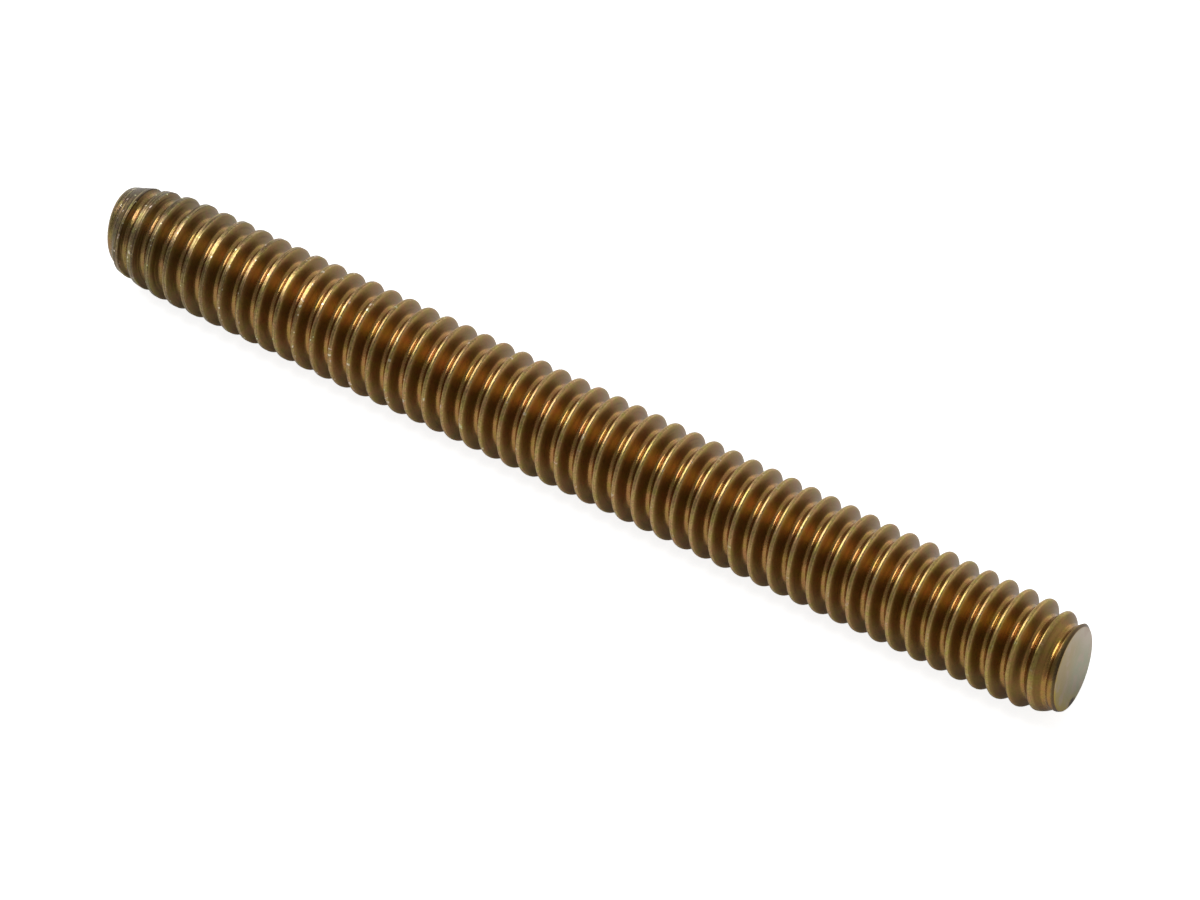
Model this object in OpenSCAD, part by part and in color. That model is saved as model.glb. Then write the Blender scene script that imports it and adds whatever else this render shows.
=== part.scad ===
// A short threaded rod that lies on its side, threaded from one cut face to the other.
// Lengths are in millimetres. X runs along the rod and Z is up.
// The origin is on the surface that the rod lies on, below the rod's middle.

/* [Rod] */
// Length along the rod's axis, from one cut face to the other
rod_length = 63.1; // [40:0.1:75]
// Diameter over the crests of the thread
major_d = 6.1; // [5:0.05:10]

/* [Thread] */
// Distance along the rod from one crest to the next
pitch = 1.27; // [1.1:0.01:1.8]
// Depth of the groove below the crests
thread_depth = 0.7; // [0.3:0.01:0.9]
// Width of the flat along each crest
crest_w = 0.2; // [0.1:0.01:0.5]
// Width of the flat along the bottom of the groove
root_w = 0.22; // [0.1:0.01:0.4]
// Distance from the rod's middle to a crest, along the line that the rod lies on
crest_shift = 0.4; // [0:0.01:1.1]

/* [Right end] */
// Length over which the crests curve down to the right face
right_curve_l = 3; // [2.5:0.1:10]
// Depth of that curve at the right face, below the crests
right_curve_depth = 0.69; // [0.1:0.01:1.2]
// Rounding of the right face's rim
right_rim_r = 0.1; // [0.05:0.05:0.8]
// Slant of the right face, away from square to the rod
right_slant = 7.5; // [0:0.5:15]
// Side on which the right face leans in, counted from the top towards the back
right_turn = 72; // [0:1:90]

/* [Left end] */
// Length over which the crests curve down to the left face
left_curve_l = 4.8; // [2.5:0.1:10]
// Depth of that curve at the left face, below the crests
left_curve_depth = 0.73; // [0.1:0.01:1.2]
// Rounding of the left face's rim
left_rim_r = 0.45; // [0.05:0.05:0.8]
// Slant of the left face, away from square to the rod
left_slant = 13; // [0:0.5:15]
// Side on which the left face leans out, counted from the top towards the back
left_turn = 48; // [0:1:90]

/* [Hidden] */

// Flats around the thread and the blank: a multiple of four, so that one of them faces straight down
flats = 24;
// Straight steps in the curve at each end, and in the rounding of its rim
curve_steps = 6;
rim_steps = 3;
// Height of the cones that the blank is made of
cone_h = 0.5;
// Room left around the crests by the blank where it doesn't cut
trim_room = 0.02;

// The flats touch the true round thread, so the corners between them lie just outside it
corner_scale = 1 / cos(180 / flats);
axis_z = major_d / 2;
crest_r = corner_scale * axis_z;
root_r = corner_scale * (axis_z - thread_depth);
flank_w = (pitch - crest_w - root_w) / 2;

// Corners of the thread's section over one pitch, as [distance along the rod, radius]
section = [
    [0, crest_r],
    [crest_w, crest_r],
    [crest_w + flank_w, root_r],
    [crest_w + flank_w + root_w, root_r]
];
corners = len(section);

// Where the axis crosses the cut faces, and how far past that their slant can take them
left_face = -rod_length / 2;
right_face = rod_length / 2;
slant_reach = crest_r * tan(max(left_slant, right_slant));

// The thread starts and ends past the cut faces all the way round
half_turns = ceil((right_face + slant_reach) / pitch);
turns = 2 * half_turns + 3;
thread_start = crest_shift - crest_w / 2 - (half_turns + 2) * pitch;
thread_end = thread_start + turns * pitch;
rows = turns * corners;

// Angle around the rod of a column of points, counted from the line that the rod lies on
function column_angle(column) = 360 * (column + 0.5) / flats;

// Point of the thread on one row and one column, with the rod's axis along Z
function thread_point(row, column) =
    let (angle = column_angle(column))
    let (corner = section[row % corners])
    let (turn = floor(row / corners) + angle / 360)
    [
        corner.y * cos(angle),
        corner.y * sin(angle),
        thread_start + pitch * turn + corner.x
    ];

// Place of a thread point in the list of points: past the last column comes the first, a turn on
function thread_index(row, column) =
    column < flats
        ? row * flats + column
        : (row + corners) * flats + column - flats;

// Last row that a column shares with the next one
function last_row(column) = column < flats - 1 ? rows : rows - corners;

// Radius that an end's curve leaves at a distance from its face
function curve_r(distance, curve_l, curve_depth) =
    crest_r + trim_room - (curve_depth + trim_room) * pow(1 - distance / curve_l, 2);

// The thread as one closed helical solid along Z, longer than the rod
module endless_thread() {
    side_points = [
        for (row = [0 : rows])
            for (column = [0 : flats - 1])
                thread_point(row, column)
    ];
    start_tip = len(side_points);
    end_tip = start_tip + 1;
    tips = [
        [0, 0, thread_start - pitch],
        [0, 0, thread_end + 2 * pitch]
    ];

    sides = [
        for (column = [0 : flats - 1])
            for (row = [0 : last_row(column) - 1])
                [
                    thread_index(row, column),
                    thread_index(row + 1, column),
                    thread_index(row + 1, column + 1),
                    thread_index(row, column + 1)
                ]
    ];
    // Each rim follows one turn of the thread and steps back along the rod to where it began
    start_rim = [
        for (column = [0 : flats]) thread_index(0, column),
        for (row = [corners - 1 : -1 : 0]) thread_index(row, 0)
    ];
    end_rim = [
        for (column = [0 : flats - 1]) thread_index(rows, column),
        for (row = [rows - 1 : -1 : rows - corners]) thread_index(row, flats - 1),
        thread_index(rows, 0)
    ];
    start_fan = [
        for (i = [0 : len(start_rim) - 2])
            [start_tip, start_rim[i], start_rim[i + 1]]
    ];
    end_fan = [
        for (i = [0 : len(end_rim) - 2])
            [end_tip, end_rim[i + 1], end_rim[i]]
    ];

    polyhedron(
        points = concat(side_points, tips),
        faces = concat(sides, start_fan, end_fan)
    );
}

// A cone whose wide side is one ring of the blank, with its flats in line with those of the thread
module ring(r) {
    rotate([0, 0, 180 / flats])
        cylinder(h = cone_h, r1 = r, r2 = 0, $fn = flats);
}

// Rings of one end, above its face: the rounded rim on the slant, then the curve up to the crests
module end_rings(curve_l, curve_depth, rim_r, slant, turn) {
    face_r = crest_r - curve_depth;
    rim_shift = 2 * curve_depth / curve_l * face_r * tan(slant);
    curve_start = face_r * tan(abs(slant)) + rim_r;
    curve_rest = curve_l - curve_start;

    rotate([0, 0, 180 - turn])
        rotate([0, slant, 0])
            translate([-rim_shift, 0, 0])
                rotate([0, 0, turn - 180])
                    for (step = [0 : rim_steps])
                        let (angle = 90 * step / rim_steps)
                        translate([0, 0, rim_r * (1 - cos(angle))])
                            ring(face_r - rim_r * (1 - sin(angle)));

    for (step = [0 : curve_steps])
        let (distance = curve_start + curve_rest * step / curve_steps)
        translate([0, 0, distance])
            ring(curve_r(distance, curve_l, curve_depth));
}

// Outside of the rod without its thread
module blank() {
    hull() {
        translate([0, 0, left_face])
            end_rings(left_curve_l, left_curve_depth, left_rim_r, left_slant, left_turn);
        translate([0, 0, right_face])
            mirror([0, 0, 1])
                end_rings(right_curve_l, right_curve_depth, right_rim_r, -right_slant, right_turn);
    }
}

module threaded_rod() {
    color("#8a6f35")
        translate([0, 0, axis_z])
            rotate([0, 90, 0])
                intersection() {
                    endless_thread();
                    blank();
                }
}

threaded_rod();
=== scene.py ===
import math

import bpy
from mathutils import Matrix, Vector


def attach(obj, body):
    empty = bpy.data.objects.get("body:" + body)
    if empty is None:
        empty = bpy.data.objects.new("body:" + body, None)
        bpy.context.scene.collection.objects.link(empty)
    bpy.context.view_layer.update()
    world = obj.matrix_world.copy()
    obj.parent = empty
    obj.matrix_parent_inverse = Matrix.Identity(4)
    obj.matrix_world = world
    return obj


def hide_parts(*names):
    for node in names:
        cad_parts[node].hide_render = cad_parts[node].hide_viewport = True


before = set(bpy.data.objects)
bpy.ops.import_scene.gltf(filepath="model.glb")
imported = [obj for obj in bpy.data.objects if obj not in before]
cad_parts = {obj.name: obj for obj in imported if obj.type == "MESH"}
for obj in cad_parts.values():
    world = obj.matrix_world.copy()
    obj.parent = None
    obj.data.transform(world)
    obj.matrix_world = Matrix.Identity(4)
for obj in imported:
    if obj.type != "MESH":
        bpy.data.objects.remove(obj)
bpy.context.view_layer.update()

mm = 0.001
hair = 1e-7         # metres: a point this near to a plane lies in it


# Edit mode on one piece, with nothing else selected
def edit(piece):
    if bpy.context.object and bpy.context.object.mode == "EDIT":
        bpy.ops.object.mode_set(mode="OBJECT")
    bpy.ops.object.select_all(action="DESELECT")
    piece.select_set(True)
    bpy.context.view_layer.objects.active = piece
    bpy.ops.object.mode_set(mode="EDIT")


# Selects the vertices that a rule picks by their place, in edit mode
def pick(piece, rule):
    bpy.ops.mesh.select_mode(type="VERT")
    bpy.ops.mesh.select_all(action="DESELECT")
    bpy.ops.object.mode_set(mode="OBJECT")
    for vertex in piece.data.vertices:
        vertex.select = rule(vertex.co)
    bpy.ops.object.mode_set(mode="EDIT")


# The same for edges, by their length
def pickEdges(piece, rule):
    bpy.ops.mesh.select_mode(type="EDGE")
    bpy.ops.mesh.select_all(action="DESELECT")
    bpy.ops.object.mode_set(mode="OBJECT")
    for edge in piece.data.edges:
        first, second = [piece.data.vertices[i].co for i in edge.vertices]
        edge.select = rule((first - second).length)
    bpy.ops.object.mode_set(mode="EDIT")


# The same for faces, by their place and normal
def pickFaces(piece, rule):
    bpy.ops.mesh.select_mode(type="FACE")
    bpy.ops.mesh.select_all(action="DESELECT")
    bpy.ops.object.mode_set(mode="OBJECT")
    for face in piece.data.polygons:
        face.select = rule(face.center, face.normal)
    bpy.ops.object.mode_set(mode="EDIT")


# Draws a line through points: one corner of a small plane, extruded from point to point
def drawLine(name, points):
    bpy.ops.object.select_all(action="DESELECT")
    side = 0.1 * mm
    start = Vector(points[0])
    bpy.ops.mesh.primitive_plane_add(size=side, location=(0, 0, 0))
    line = bpy.context.object
    line.name = name
    edit(line)
    pick(line, lambda co: co.x < 0 or co.y < 0)
    bpy.ops.mesh.delete(type="VERT")
    bpy.ops.mesh.select_all(action="SELECT")
    bpy.ops.transform.translate(value=start - Vector((side / 2, side / 2, 0)))
    for before, after in zip(points, points[1:]):
        step = Vector(after) - Vector(before)
        bpy.ops.mesh.extrude_region_move(TRANSFORM_OT_translate={"value": step})
    bpy.ops.object.mode_set(mode="OBJECT")
    return line


# Cuts away what lies past a plane and closes the cut
def cutOff(piece, place, outwards):
    edit(piece)
    bpy.ops.mesh.select_all(action="SELECT")
    bpy.ops.mesh.bisect(plane_co=place, plane_no=outwards, use_fill=True, clear_outer=True,
                        threshold=hair)
    bpy.ops.object.mode_set(mode="OBJECT")


# Merges doubles and turns all normals outwards
def tidyMesh(piece, reach):
    edit(piece)
    bpy.ops.mesh.select_all(action="SELECT")
    bpy.ops.mesh.remove_doubles(threshold=reach)
    bpy.ops.mesh.normals_make_consistent(inside=False)
    bpy.ops.object.mode_set(mode="OBJECT")


rod = {
    "length": 63.1 * mm,                # along the axis, from cut face to cut face
    "crestRadius": 3.045 * mm,
    "axisZ": 3.05 * mm,
    "pitch": 1.27 * mm,
    "depth": 0.7 * mm,
    "flankAngle": math.radians(27.5),   # between a flank and a plane square to the rod
    "crestRounding": 0.1 * mm,
    "rootRounding": 0.3 * mm,
    "crestSegments": 3,
    "rootSegments": 8,
    "flankCuts": 3,
    "shortEdge": 0.2 * mm,              # only longer edges of the section are divided
    "near": 0.01 * mm,                  # reach around a corner of the section
    "crestShift": 0.4 * mm,             # from the middle to a crest, along the bottom line
    "stepsRound": 72,
    "merge": 1e-6,                      # metres between points that count as one
    "mergeLast": 2e-6,                  # and once the ends are cut down
    "faceReach": 0.005 * mm,            # how far the middle of a cut face may lie from its plane
    "faceAim": 0.999,                   # cosine of the most that its normal may lean
    "faceRings": 20,                    # rings inside each cut face
    "faceShrink": 0.97,                 # size of each ring next to the one around it
    "smoothAngle": math.radians(32),
}


# The thread on its own, open at both ends, and longer than the rod
def makeThread():
    pitch, angle, near = rod["pitch"], rod["flankAngle"], rod["near"]
    top = rod["crestRadius"]
    # Where the flanks would meet
    apex = top - rod["depth"] - rod["rootRounding"] * (1 / math.sin(angle) - 1)
    halfGroove = (top - apex) * math.tan(angle)
    turns = 2 * math.ceil(rod["length"] / 2 / pitch) + 4
    start = rod["crestShift"] - (turns // 2) * pitch - pitch
    end = start + pitch
    corners = [
        (start, 0, -top),
        (start + pitch / 2 - halfGroove, 0, -top),
        (start + pitch / 2, 0, -apex),
        (start + pitch / 2 + halfGroove, 0, -top),
        (end, 0, -top),
    ]
    thread = drawLine("thread", corners)
    edit(thread)
    pick(thread, lambda co: co.z > -apex - near)
    rootCut = rod["rootRounding"] / math.tan(angle)
    bpy.ops.mesh.bevel(offset=rootCut, segments=rod["rootSegments"], affect="VERTICES")
    pick(thread, lambda co: co.z < -top + near and start + near < co.x < end - near)
    crestCut = rod["crestRounding"] * math.tan(math.pi / 4 - angle / 2)
    bpy.ops.mesh.bevel(offset=crestCut, segments=rod["crestSegments"], affect="VERTICES")
    pickEdges(thread, lambda length: length > rod["shortEdge"])
    bpy.ops.mesh.subdivide(number_cuts=rod["flankCuts"])
    bpy.ops.object.mode_set(mode="OBJECT")
    print("section:", len(thread.data.vertices), "vertices")

    screw = thread.modifiers.new("screw", "SCREW")
    screw.axis = "X"
    screw.angle = 2 * math.pi
    screw.screw_offset = pitch
    screw.iterations = turns
    screw.steps = rod["stepsRound"]
    screw.render_steps = rod["stepsRound"]
    screw.use_merge_vertices = False
    bpy.ops.object.modifier_apply(modifier=screw.name)
    tidyMesh(thread, rod["merge"])
    print("thread:", len(thread.data.vertices), "vertices")
    return thread


# The two cut faces, and how far the crests run down to them, as the photo's outline gives it
ends = {
    "leftSlant": math.radians(13),
    "leftTurn": math.radians(48),       # from the top towards the back
    "leftLength": 4.8 * mm,
    "leftDepth": 0.73 * mm,
    "leftRounding": 0.45 * mm,
    "rightSlant": math.radians(7.5),
    "rightTurn": math.radians(72),
    "rightLength": 3.0 * mm,
    "rightDepth": 0.65 * mm,
    "rightRounding": 0.1 * mm,
    "smoothing": 18,                    # rounds of smoothing on the cut crests at the right
    "smoothFactor": 0.5,
    "smoothShare": 0.8,                 # over this share of the right end's length
    "smoothStart": 0.2 * mm,            # from this far behind the right face
    "wornLength": 20 * mm,              # the crests at the left are flattened over this length
    "wornDepth": 0.06 * mm,
    "wornBend": 0.6,                    # share of both at the ring in between
    "room": 0.03 * mm,                  # the blank stays this far outside the crests elsewhere
    "rimSteps": 5,
    "rimGap": 0.1 * mm,                 # from the rounded rim to the first ring of the curve
    "curveSteps": 8,
    "stepsRound": 96,
}


# Square to a cut face, towards the right
def faceNormal(side):
    slant, turn = ends[side + "Slant"], ends[side + "Turn"]
    lean = math.sin(slant)
    return Vector((math.cos(slant), lean * math.sin(turn), lean * math.cos(turn)))


# Rings of the blank at one end, from its face inwards: the rounded rim on the slant, then the curve
def endRings(side, sign):
    length, depth = ends[side + "Length"], ends[side + "Depth"]
    radius, rounding = rod["crestRadius"] - depth, ends[side + "Rounding"]
    worn = ends["wornDepth"] if side == "left" else -ends["room"]
    face, square, inwards = faceNormal(side), Vector((1, 0, 0)), Vector((-sign, 0, 0))
    lean = (square - face * square.dot(face)).normalized()          # in the face, up the slant
    center = Vector((sign * rod["length"] / 2, 0, 0))
    shift = lean * (-sign * 2 * depth / length * radius * math.tan(ends[side + "Slant"]))
    rings = []
    for step in range(ends["rimSteps"] + 1):
        angle = math.radians(90 * step / ends["rimSteps"])
        middle = center + shift - face * sign * rounding * (1 - math.cos(angle))
        rings.append((middle, face, radius - rounding * (1 - math.sin(angle))))
    start = radius * math.tan(ends[side + "Slant"]) + rounding + ends["rimGap"]
    for step in range(ends["curveSteps"] + 1):
        along = start + (length - start) * step / ends["curveSteps"]
        drop = worn + (depth - worn) * (1 - along / length) ** 2
        rings.append((center + inwards * along, square, rod["crestRadius"] - drop))
    return rings


# The blank that the thread stays inside of: rings across the rod, bridged
def makeBlank():
    half, top, square = rod["length"] / 2, rod["crestRadius"], Vector((1, 0, 0))
    wornLength, wornBend = ends["wornLength"], ends["wornBend"]
    rings = endRings("left", -1)
    bendPlace, wornEnd = wornBend * wornLength - half, wornLength - half
    rings.append((bendPlace * square, square, top - wornBend * ends["wornDepth"]))
    rings.append((wornEnd * square, square, top + ends["room"]))
    rings += reversed(endRings("right", 1))

    bpy.ops.object.select_all(action="DESELECT")
    bpy.ops.mesh.primitive_circle_add(vertices=ends["stepsRound"], radius=top, location=(0, 0, 0))
    blank = bpy.context.object
    blank.name = "blank"
    edit(blank)
    bpy.ops.mesh.delete(type="VERT")
    for middle, normal, radius in rings:
        turned = normal.to_track_quat("Z", "Y").to_euler()
        bpy.ops.mesh.primitive_circle_add(vertices=ends["stepsRound"], radius=radius,
                                          location=middle, rotation=turned)
    bpy.ops.mesh.select_all(action="SELECT")
    bpy.ops.mesh.bridge_edge_loops()
    for side, sign in (("left", -1), ("right", 1)):
        place, normal = sign * half * square, faceNormal(side)
        pick(blank, lambda co: abs((co - place).dot(normal)) < hair)
        bpy.ops.mesh.edge_face_add()
    bpy.ops.object.mode_set(mode="OBJECT")
    tidyMesh(blank, rod["merge"])
    return blank


def makeRod():
    thread = makeThread()
    half = rod["length"] / 2
    for side, sign in (("left", -1), ("right", 1)):
        place, normal = Vector((sign * half, 0, 0)), faceNormal(side)
        cutOff(thread, place, normal * sign)
        tidyMesh(thread, rod["merge"])
        edit(thread)
        pickFaces(thread, lambda center, outwards: outwards.dot(normal * sign) > rod["faceAim"]
                  and abs((center - place).dot(normal)) < rod["faceReach"])
        shrink = [rod["faceShrink"]] * 3
        for ring in range(rod["faceRings"]):
            bpy.ops.mesh.extrude_region_move()
            bpy.ops.transform.resize(value=shrink, center_override=place)
        bpy.ops.object.mode_set(mode="OBJECT")

    blank = makeBlank()
    inside = thread.modifiers.new("taper", "SHRINKWRAP")
    inside.target = blank
    inside.wrap_method = "NEAREST_SURFACEPOINT"
    inside.wrap_mode = "INSIDE"
    bpy.context.view_layer.objects.active = thread
    bpy.ops.object.modifier_apply(modifier=inside.name)
    bpy.data.objects.remove(blank)
    tidyMesh(thread, rod["mergeLast"])

    # The cut crests at the right are rounded off, up to the rim
    face, place = faceNormal("right"), Vector((half, 0, 0))
    inner = half - ends["smoothShare"] * ends["rightLength"]
    edit(thread)
    pick(thread, lambda co: co.x > inner and (place - co).dot(face) > ends["smoothStart"])
    bpy.ops.mesh.vertices_smooth(factor=ends["smoothFactor"], repeat=ends["smoothing"])
    bpy.ops.mesh.select_all(action="SELECT")
    bpy.ops.transform.translate(value=(0, 0, rod["axisZ"]))
    bpy.ops.object.mode_set(mode="OBJECT")
    bpy.ops.object.select_all(action="DESELECT")
    thread.select_set(True)
    bpy.context.view_layer.objects.active = thread
    bpy.ops.object.shade_smooth_by_angle(angle=rod["smoothAngle"])
    thread.name = "threadedRod"
    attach(thread, "root")
    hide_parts("threaded_rod")
    print("rod:", len(thread.data.vertices), "vertices,", len(thread.data.polygons), "faces")
    return thread


# A shader socket with arithmetic, so that patterns read as sums
class Wire:
    def __init__(self, tree, socket=None):
        self.tree, self.socket = tree, socket

    # Sets some of a node's sockets, by name or number, to values or wires
    def feed(self, made, sockets):
        for name, value in sockets.items():
            if isinstance(value, Wire):
                self.tree.links.new(value.socket, made.inputs[name])
            else:
                made.inputs[name].default_value = value

    # Any node: its type, its settings, then the values or wires of its sockets
    def node(self, kind, settings=None, sockets=None, out=0):
        made = self.tree.nodes.new(kind)
        for name, value in (settings or {}).items():
            setattr(made, name, value)
        self.feed(made, sockets or {})
        return Wire(self.tree, made.outputs[out])

    # A separating node's three numbers
    def split(self, vector):
        made = self.node("ShaderNodeSeparateXYZ", None, {0: vector}).socket.node
        return [Wire(self.tree, socket) for socket in made.outputs]

    def maths(self, operation, *values):
        return self.node("ShaderNodeMath", {"operation": operation}, dict(enumerate(values)))

    def __add__(self, other): return self.maths("ADD", self, other)
    def __radd__(self, other): return self.maths("ADD", other, self)
    def __sub__(self, other): return self.maths("SUBTRACT", self, other)
    def __rsub__(self, other): return self.maths("SUBTRACT", other, self)
    def __mul__(self, other): return self.maths("MULTIPLY", self, other)
    def __rmul__(self, other): return self.maths("MULTIPLY", other, self)
    def __truediv__(self, other): return self.maths("DIVIDE", self, other)
    def __pow__(self, other): return self.maths("POWER", self, other)

    # 0 below the first value and 1 above the second, or the other way round
    def ramp(self, low, high):
        return self.node("ShaderNodeMapRange", {"interpolation_type": "SMOOTHSTEP"},
                         {"Value": self, "From Min": low, "From Max": high})

    # Sockets 0, 6 and 7 of a colour mix are its share and its two colours
    def mix(self, share, first, second, blend="MIX"):
        made = self.tree.nodes.new("ShaderNodeMix")
        made.data_type, made.blend_type = "RGBA", blend
        self.feed(made, {0: share, 6: first, 7: second})
        return Wire(self.tree, made.outputs[2])

    def tint(self, share, color, by):
        return self.mix(share, color, by, "MULTIPLY")

    def noise(self, vector, scale, detail, roughness=0.55):
        sockets = {"Vector": vector, "Scale": scale, "Detail": detail, "Roughness": roughness}
        return self.node("ShaderNodeTexNoise", None, sockets)

    def point(self, x, y, z):
        return self.node("ShaderNodeCombineXYZ", None, {"X": x, "Y": y, "Z": z})


def newMaterial(name):
    material = bpy.data.materials.new(name)
    material.use_nodes = True
    tree = material.node_tree
    tree.nodes.clear()
    output = tree.nodes.new("ShaderNodeOutputMaterial")
    return material, Wire(tree), output


zinc = {
    # Down each groove: a lighter root bottom, which is a painted highlight, then flanks darkened as
    # painted shade
    "root": (0.53, 0.29, 0.085, 1),
    "flank": (0.29, 0.158, 0.042, 1),       # painted shade: the flanks down in the grooves, darker and more orange
    "outer": (0.43, 0.265, 0.083, 1),       # flanks next to a crest
    "crest": (0.66, 0.445, 0.17, 1),
    "dull": (0.40, 0.26, 0.10, 1),          # specks on the crests
    "nick": (0.95, 0.85, 0.62, 1),
    "olive": (0.94, 1.05, 0.82, 1),         # what the patches of the film tint the rest by
    "rose": (1.05, 0.93, 1.04, 1),
    "scored": (0.40, 0.34, 0.30, 1),        # fine lines along the crests at the left
    "streak": (0.62, 0.58, 0.52, 1),
    "tarnished": (0.74, 0.88, 1.05, 1),     # what the left end is tinted by
    "yellowed": (1.0, 1.02, 0.86, 1),       # and the right end
    "ridge": (0.36, 0.30, 0.24, 1),         # grooves left by the cut, at the left tip
    "faceFront": (0.53, 0.40, 0.19, 1),
    "faceBack": (0.47, 0.46, 0.31, 1),
    "faceTop": (0.66, 0.56, 0.44, 1),
    "faceLow": (0.60, 0.44, 0.08, 1),
    "faceRose": (0.60, 0.46, 0.35, 1),
    # painted shade: the dark band along the right face's rim and the dark spot at its nick
    "dark": (0.10, 0.06, 0.03, 1),
    "roughness": 0.36,
    "rootRoughness": 0.26,
    "faceRoughness": 0.46,
    "grainGloss": 0.14,                     # how far grain and streaks sway the roughness
    "streakGloss": 0.12,
    "coat": 0.35,
    "coatRoughness": 0.35,
    "bumpStrength": 0.4,
    "bumpDistance": 0.02 * mm,
    "grainBump": 0.5,
    "streakBump": 0.35,
    "ridgeBump": 2.6,
    "nickPlace": (31.66, -0.15, -2.29),     # mm, on the right face's rim
    "nickFray": 0.4,
    # how strongly the painted shade along the right face's rim shows
    "paintedRimShadeShare": 0.85,
    "streakShare": 0.6,
    "grainShare": 0.35,
    "fineShare": 0.5,
    "faceRoseShare": 0.6,
    "faceAcross": 0.66,                     # direction that the colours of a cut face run in
    "faceUpright": 0.75,
    "faceSway": 2.0,                        # mm that broad patches move the face's colours by
    "tarnishedLength": 14 * mm,             # lengths over which things fade out from their end
    "yellowedLength": 16 * mm,
    "scoredLength": 30 * mm,
    "nickLength": 50 * mm,
    "roughLength": 45 * mm,
    "ridgeLength": 7 * mm,
    "nickLeast": 0.25,                      # share of the nicks that is left past that length
    "speckLeast": 0.35,
    "speckMore": 0.5,                       # added at the left end
    "lineDetail": 2.0,
}

# Where each thing starts and where it is full, in the pattern or measure that it follows
bands = {
    "faceMask": (0.05, 0.01),       # mm behind a cut face
    # where the painted shade along the right face's rim starts and is full, in mm behind it
    "rimShadeEnd": (0.3, 0.12),
    "rimShadeStart": (0.02, 0.05),
    # painted shade at the nick in the right face's rim, which the mesh has no dent for
    "paintedNickShade": (0.72, 0.50),       # mm from its middle
    "faceBack": (-1.6, 1.2),        # mm over a cut face
    "faceTop": (0.6, 2.4),
    "faceLow": (-0.4, -2.2),
    "faceRose": (0.50, 0.38),
    "crest": (-0.08, -0.02),        # mm above the top of a crest
    # where the painted highlight at the root's bottom passes into the flanks' painted shade
    "flank": (0.0, 0.09),           # share of the thread's depth
    "outer": (0.55, 0.95),
    "rootGloss": (0.15, 0.02),
    "nick": (0.66, 0.72),
    "dull": (0.60, 0.36),
    "scored": (0.46, 0.54),
    "ridge": (0.44, 0.54),
    "streak": (0.5, 0.75),
    "grain": (0.55, 0.35),
    "olive": (0.5, 0.66),
    "rose": (0.5, 0.34),
    "fineOlive": (0.5, 0.62),
    "fineRose": (0.5, 0.38),
}

# Scale per mm and detail of each pattern
patterns = {
    "grain": (9.0, 4.0),
    "fine": (5.0, 2.0),
    "nick": (3.2, 1.0),
    "patch": (1.7, 2.0),
    "cloud": (1.1, 3.0),
    "broad": (0.6, 2.0),
}

# Lines that follow the thread: how many across a pitch and along a turn, and a place in the noise
threadLines = {
    "streak": (18, 8, 0),
    "scored": (20, 5, 3),
    "ridge": (10, 2.5, 7),
}


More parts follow.
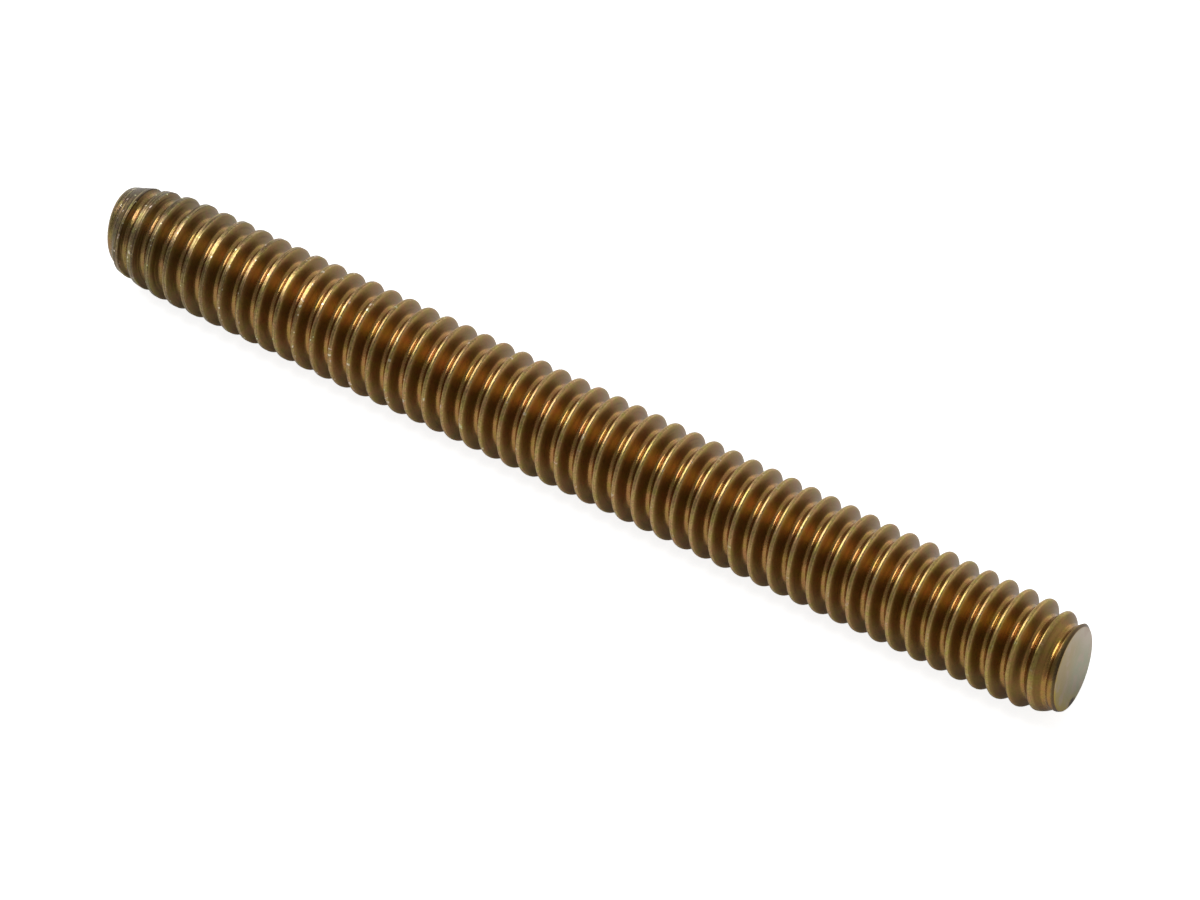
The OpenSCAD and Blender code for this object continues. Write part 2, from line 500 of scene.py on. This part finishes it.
# Yellow chromate over zinc, which follows the thread along its helix
def makeZinc():
    material, w, output = newMaterial("yellowZinc")
    x, y, z = [wire / mm for wire in w.split(w.node("ShaderNodeTexCoord", out=3))]
    z = z - rod["axisZ"] / mm
    radius = (y * y + z * z) ** 0.5
    turn = w.maths("ARCTAN2", y, 0 - z) / (2 * math.pi)
    along = (x - rod["crestShift"] / mm) / (rod["pitch"] / mm) - turn
    phase = along - w.maths("ROUND", along)         # 0 on a crest, half a pitch either way
    helix = along - phase + turn                    # turns counted along the thread
    spot = w.point(x, y, z)
    half, top, depth = rod["length"] / 2 / mm, rod["crestRadius"] / mm, rod["depth"] / mm

    # 1 at an end of the rod, falling to 0 over a length
    def share(distance, length):
        return w.maths("MAXIMUM", 1 - distance / (length / mm), 0)

    def fromLeft(name):
        return share(x + half, zinc[name])

    def pattern(name):
        return w.noise(spot, *patterns[name])

    def lines(name):
        across, lengthwise, place = threadLines[name]
        return w.noise(w.point(phase * across, helix * lengthwise, place), 1.0, zinc["lineDetail"])

    # How far a point lies behind a cut face
    def behind(side, sign):
        face = faceNormal(side)
        return half * face.x - sign * (x * face.x + y * face.y + z * face.z)

    # How far the crests are cut down here
    left, right = share(x + half, ends["leftLength"]), share(half - x, ends["rightLength"])
    worn = share(x + half, ends["wornLength"])
    drop = left * left * (ends["leftDepth"] / mm) + right * right * (ends["rightDepth"] / mm)
    drop = drop + worn * (ends["wornDepth"] / mm)

    fromFace = behind("right", 1)
    faceMask = behind("left", -1).ramp(*bands["faceMask"]) + fromFace.ramp(*bands["faceMask"])
    # Painted shade: a dark band just behind the right face, along its rim, in place of a dark
    # reflection there
    paintedRimShade = fromFace.ramp(*bands["rimShadeEnd"]) * fromFace.ramp(*bands["rimShadeStart"])
    grain, patch, fine, cloud = [pattern(name) for name in ("grain", "patch", "fine", "cloud")]
    streak = lines("streak")
    crest = (radius + drop).ramp(*[top + height for height in bands["crest"]])
    rise = (radius - (top - depth)) / depth         # 0 at the root, 1 on a crest
    nick = pattern("nick").ramp(*bands["nick"]) * crest
    nick = nick * (zinc["nickLeast"] + fromLeft("nickLength"))

    # The grooves, with a painted highlight along the root's bottom and painted shade on the flanks,
    # then the crests, which are rougher at the left than at the right
    flank = w.mix(rise.ramp(*bands["flank"]), zinc["root"], zinc["flank"])
    flank = w.mix(rise.ramp(*bands["outer"]), flank, zinc["outer"])
    speckShare = zinc["speckLeast"] + zinc["speckMore"] * fromLeft("roughLength")
    specks = grain.ramp(*bands["dull"]) * speckShare
    crestColor = w.mix(specks, zinc["crest"], zinc["dull"])
    scored = lines("scored").ramp(*bands["scored"]) * fromLeft("scoredLength")
    crestColor = w.tint(scored, crestColor, zinc["scored"])
    color = w.mix(crest, flank, crestColor)

    # The two ends, then what lies over the whole rod
    color = w.tint(fromLeft("tarnishedLength"), color, zinc["tarnished"])
    color = w.tint(share(half - x, zinc["yellowedLength"]), color, zinc["yellowed"])
    ridge = lines("ridge").ramp(*bands["ridge"]) * fromLeft("ridgeLength")
    color = w.tint(ridge * crest, color, zinc["ridge"])
    color = w.mix(nick, color, zinc["nick"])
    color = w.tint(streak.ramp(*bands["streak"]) * zinc["streakShare"], color, zinc["streak"])
    color = w.tint(grain.ramp(*bands["grain"]) * zinc["grainShare"], color, zinc["streak"])
    color = w.tint(patch.ramp(*bands["olive"]), color, zinc["olive"])
    color = w.tint(patch.ramp(*bands["rose"]), color, zinc["rose"])
    color = w.tint(fine.ramp(*bands["fineOlive"]) * zinc["fineShare"], color, zinc["olive"])
    color = w.tint(fine.ramp(*bands["fineRose"]) * zinc["fineShare"], color, zinc["rose"])

    # The cut faces, with painted shade along the right one's rim and at the nick on it
    broad = zinc["faceSway"] * (pattern("broad") - 0.5)
    across = zinc["faceAcross"] * y - zinc["faceUpright"] * z + broad
    upwards = zinc["faceUpright"] * y + zinc["faceAcross"] * z - broad
    face = w.mix(across.ramp(*bands["faceBack"]), zinc["faceFront"], zinc["faceBack"])
    face = w.mix(upwards.ramp(*bands["faceTop"]), face, zinc["faceTop"])
    face = w.mix(upwards.ramp(*bands["faceLow"]), face, zinc["faceLow"])
    face = w.mix(cloud.ramp(*bands["faceRose"]) * zinc["faceRoseShare"], face, zinc["faceRose"])
    color = w.mix(faceMask, color, face)
    color = w.mix(paintedRimShade * zinc["paintedRimShadeShare"], color, zinc["dark"])
    # The nick in the right face's rim is real; its dark spot is painted shade, as the mesh has no
    # dent there
    away = w.node("ShaderNodeVectorMath", {"operation": "DISTANCE"},
                  {0: spot, 1: zinc["nickPlace"]}, out=1)
    paintedNickShade = (away + grain * zinc["nickFray"]).ramp(*bands["paintedNickShade"])
    color = w.mix(paintedNickShade, color, zinc["dark"])

    gloss = zinc["roughness"] + zinc["grainGloss"] * (grain - 0.5)
    gloss = gloss + zinc["streakGloss"] * (streak - 0.5)
    gloss = gloss + rise.ramp(*bands["rootGloss"]) * (zinc["rootRoughness"] - zinc["roughness"])
    gloss = gloss + faceMask * (zinc["faceRoughness"] - zinc["roughness"])
    height = grain * zinc["grainBump"] + streak * zinc["streakBump"] - ridge * zinc["ridgeBump"]
    bump = w.node("ShaderNodeBump", None, {"Strength": zinc["bumpStrength"],
                                           "Distance": zinc["bumpDistance"], "Height": height})
    shader = w.node("ShaderNodeBsdfPrincipled", None,
                    {"Base Color": color, "Metallic": 1.0, "Roughness": gloss, "Normal": bump,
                     "Coat Weight": zinc["coat"], "Coat Roughness": zinc["coatRoughness"]})
    w.tree.links.new(shader.socket, output.inputs["Surface"])
    print("zinc ready")
    return material


studio = {
    "floorSize": 6,
    "floorColor": (0.8, 0.8, 0.8, 1),
    "floorWhite": 0.85,                 # what the floor shows of its own white to the camera
    "floorMirrored": 0.08,              # and in the metal
    "front": 0.13,                      # how bright the room is on the camera's side
    "behind": 0.37,                     # and on the far side
    "frontLow": 0.18,                   # added towards the horizon
    "behindLow": 0.80,
    "lowPower": 3,                      # how fast that fades upwards
    "left": -0.05,                      # added towards the two ends of the rod
    "right": 0.10,
    "depthBand": (-0.35, 0.45),         # where the front passes into the far side
    "sideBand": (0.1, 0.9),             # and the middle into the two ends
    "overhead": 1.52,                   # watts
    "overheadSize": 0.34,
    "overheadAway": 0.55,
    "overheadFrom": (-0.53, -0.10, 0.88),
}


def makeFloor():
    bpy.ops.object.select_all(action="DESELECT")
    bpy.ops.mesh.primitive_plane_add(size=studio["floorSize"], location=(0, 0, 0))
    floor = bpy.context.object
    floor.name = "floor"
    material, w, output = newMaterial("paper")
    matte = w.node("ShaderNodeBsdfDiffuse", None, {"Color": studio["floorColor"]})
    path = w.tree.nodes.new("ShaderNodeLightPath")
    seen, glossy, through = [Wire(w.tree, path.outputs["Is %s Ray" % kind])
                             for kind in ("Camera", "Glossy", "Transmission")]
    white = seen * studio["floorWhite"] + (glossy + through) * studio["floorMirrored"]
    glow = w.node("ShaderNodeEmission", None, {"Color": (1, 1, 1, 1), "Strength": white})
    both = w.node("ShaderNodeAddShader", None, {0: matte, 1: glow})
    w.tree.links.new(both.socket, output.inputs["Surface"])
    floor.data.materials.append(material)


# White to the camera; to the metal a room that is darker in front and brighter behind
def makeRoom():
    world = bpy.data.worlds.new("studio")
    bpy.context.scene.world = world
    world.use_nodes = True
    world.node_tree.nodes.clear()
    w = Wire(world.node_tree)
    output = w.tree.nodes.new("ShaderNodeOutputWorld")
    path = w.tree.nodes.new("ShaderNodeLightPath")
    seen = Wire(w.tree, path.outputs["Is Camera Ray"])
    x, y, z = w.split(w.node("ShaderNodeTexCoord", out=0))
    low = (1 - w.maths("ABSOLUTE", z)) ** studio["lowPower"]
    front = low * studio["frontLow"] + studio["front"]
    behind = low * studio["behindLow"] + studio["behind"]
    share = y.ramp(*studio["depthBand"])
    left, right = (0 - x).ramp(*studio["sideBand"]), x.ramp(*studio["sideBand"])
    sides = left * studio["left"] + right * studio["right"]
    room = front + share * (behind - front) + sides
    strength = seen + (1 - seen) * room
    back = w.node("ShaderNodeBackground", None, {"Color": (1, 1, 1, 1), "Strength": strength})
    w.tree.links.new(back.socket, output.inputs["Surface"])


def makeLamp():
    away = Vector(studio["overheadFrom"]).normalized()
    data = bpy.data.lights.new("overhead", "AREA")
    data.shape = "SQUARE"
    data.size = studio["overheadSize"]
    data.energy = studio["overhead"]
    lamp = bpy.data.objects.new("overhead", data)
    bpy.context.scene.collection.objects.link(lamp)
    lamp.location = away * studio["overheadAway"]
    lamp.rotation_euler = away.to_track_quat("Z", "Y").to_euler()
    print("studio ready")


view = {
    "azimuth": math.radians(34.997),
    "elevation": math.radians(42.675),
    "away": 469.9 * mm,
    "lens": 257.9,
    "sensor": 36,
    "near": 0.01,
    "far": 20,
    "middle": (-0.11 * mm, 0, rod["axisZ"]),    # point of the rod that the view was measured from
    "rightOf": 0.875 * mm,                      # how far the view's middle lies from it
    "below": 0.519 * mm,
}


def makeCamera():
    azimuth, elevation = view["azimuth"], view["elevation"]
    back = Vector((math.sin(azimuth) * math.cos(elevation),
                   -math.cos(azimuth) * math.cos(elevation), math.sin(elevation)))
    right = Vector((math.cos(azimuth), math.sin(azimuth), 0))
    up = back.cross(right)
    middle = Vector(view["middle"])
    place = middle + back * view["away"]
    target = middle + right * view["rightOf"] - up * view["below"]
    data = bpy.data.cameras.new("camera")
    data.lens = view["lens"]
    data.sensor_width = view["sensor"]
    data.clip_start, data.clip_end = view["near"], view["far"]
    camera = bpy.data.objects.new("camera", data)
    bpy.context.scene.collection.objects.link(camera)
    camera.location = place
    camera.rotation_euler = (place - target).to_track_quat("Z", "Y").to_euler()
    bpy.context.scene.camera = camera
    print("camera ready")


rodPiece = makeRod()
rodPiece.data.materials.clear()
rodPiece.data.materials.append(makeZinc())
makeFloor()
makeRoom()
makeLamp()
makeCamera()
bpy.context.scene.view_settings.view_transform = "Standard"
